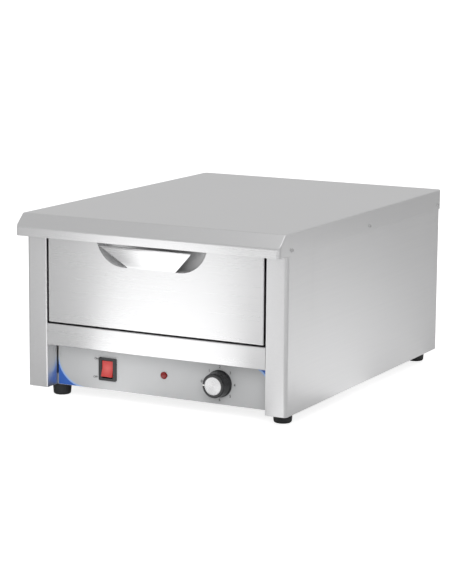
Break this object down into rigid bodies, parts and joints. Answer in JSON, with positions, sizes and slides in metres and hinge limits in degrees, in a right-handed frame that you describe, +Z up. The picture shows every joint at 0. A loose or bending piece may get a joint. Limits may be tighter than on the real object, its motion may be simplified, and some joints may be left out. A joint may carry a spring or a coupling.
{
  "type": "plate warmer cabinet",
  "caption": "Counter-top plate warmer: a steel cabinet with one heated drawer on telescopic slides, a set-back control panel with switch, lamp and thermostat knob, and rubber feet.",
  "frame": {"origin": "middle of the overall box seen from above, on the plane that the feet stand on", "axes": "+Z up, +Y towards the back; the drawer opens towards -Y"},
  "size_m": [0.4062, 0.5584, 0.2612],
  "materials": {
    "brushed_casing": "brushed stainless steel, satin",
    "satin_cover": "fine satin stainless steel",
    "drawer_steel": "bright brushed stainless steel",
    "inner_sheet": "plain mill finish sheet",
    "slide_zinc": "zinc plated, dull",
    "label_film": "matte printed film, silver grey",
    "accent_film": "matte printed film, blue",
    "insulation_wool": "pressed mineral wool",
    "element_sheath": "heat-darkened sheath",
    "black_plastic": "black moulded plastic",
    "red_rocker": "translucent red moulded plastic",
    "red_lens": "dark red lens",
    "pale_plastic": "pale moulded plastic",
    "spun_cap": "spun aluminium",
    "white_mark": "white filled mark",
    "steel_shaft": "turned steel",
    "copper_bulb": "drawn copper",
    "stud_brass": "turned brass",
    "wire_cover": "heat-resistant sleeve",
    "fastener_steel": "plain steel",
    "foot_rubber": "black rubber"
  },
  "bodies": {
    "cabinet": {"top_cover": "satin_cover", "left_side_panel": "brushed_casing", "right_side_panel": "brushed_casing", "front_rail": "drawer_steel", "top_rail": "brushed_casing", "control_panel": "brushed_casing", "control_label": "label_film", "label_accents": "accent_film", "base_plate": "inner_sheet", "back_panel": "brushed_casing", "left_chamber_wall": "inner_sheet", "right_chamber_wall": "inner_sheet", "rear_chamber_wall": "inner_sheet", "chamber_roof": "inner_sheet", "chamber_floor": "inner_sheet", "left_insulation": "insulation_wool", "right_insulation": "insulation_wool", "rear_insulation": "insulation_wool", "roof_insulation": "insulation_wool", "heating_element": "element_sheath", "element_cradles": "fastener_steel", "left_fixed_slide": "slide_zinc", "right_fixed_slide": "slide_zinc", "slide_rivets": "fastener_steel", "switch_housing": "black_plastic", "lamp_lens": "red_lens", "lamp_body": "pale_plastic", "lamp_nut": "fastener_steel", "thermostat_body": "pale_plastic", "thermostat_nut": "fastener_steel", "capillary_tube": "copper_bulb", "thermostat_bulb": "copper_bulb", "bulb_clip": "fastener_steel", "overheat_cutout": "black_plastic", "terminal_block": "pale_plastic", "wiring": "wire_cover", "earth_stud": "stud_brass", "cable_gland": "black_plastic", "gland_nut": "black_plastic", "feet": "foot_rubber", "foot_screws": "fastener_steel", "foot_nuts": "fastener_steel", "cover_screws": "fastener_steel", "back_screws": "fastener_steel"},
    "drawer": {"drawer_front": "drawer_steel", "drawer_backing": "inner_sheet", "drawer_tub": "inner_sheet", "tub_ends": "inner_sheet", "left_drawer_slide": "slide_zinc", "right_drawer_slide": "slide_zinc", "tub_rivets": "fastener_steel", "drawer_front_screws": "fastener_steel"},
    "left_middle_rail": {"left_middle_slide": "slide_zinc"},
    "right_middle_rail": {"right_middle_slide": "slide_zinc"},
    "thermostat_knob": {"knob": "black_plastic", "knob_cap": "spun_cap", "knob_pointer": "white_mark", "thermostat_shaft": "steel_shaft"},
    "power_rocker": {"switch_rocker": "red_rocker"}
  },
  "joints": [
    {"name": "drawer_slide", "type": "slide", "parent": "cabinet", "child": "drawer", "axis": [0, -1, 0], "range_m": [0, 0.4]},
    {"name": "left_rail_slide", "type": "slide", "parent": "cabinet", "child": "left_middle_rail", "axis": [0, -1, 0], "range_m": [0, 0.2]},
    {"name": "right_rail_slide", "type": "slide", "parent": "cabinet", "child": "right_middle_rail", "axis": [0, -1, 0], "range_m": [0, 0.2]},
    {"name": "knob_turn", "type": "hinge", "parent": "cabinet", "child": "thermostat_knob", "pos_m": [0.0876, -0.23275, 0.0465], "axis": [0, 1, 0], "range_deg": [0, 270]},
    {"name": "rocker_tilt", "type": "hinge", "parent": "cabinet", "child": "power_rocker", "pos_m": [-0.0866, -0.22375, 0.047], "axis": [1, 0, 0], "range_deg": [0, 20]}
  ],
  "couplings": [
    {"joint": "left_rail_slide", "follows": "drawer_slide", "ratio": 0.5},
    {"joint": "right_rail_slide", "follows": "drawer_slide", "ratio": 0.5}
  ]
}
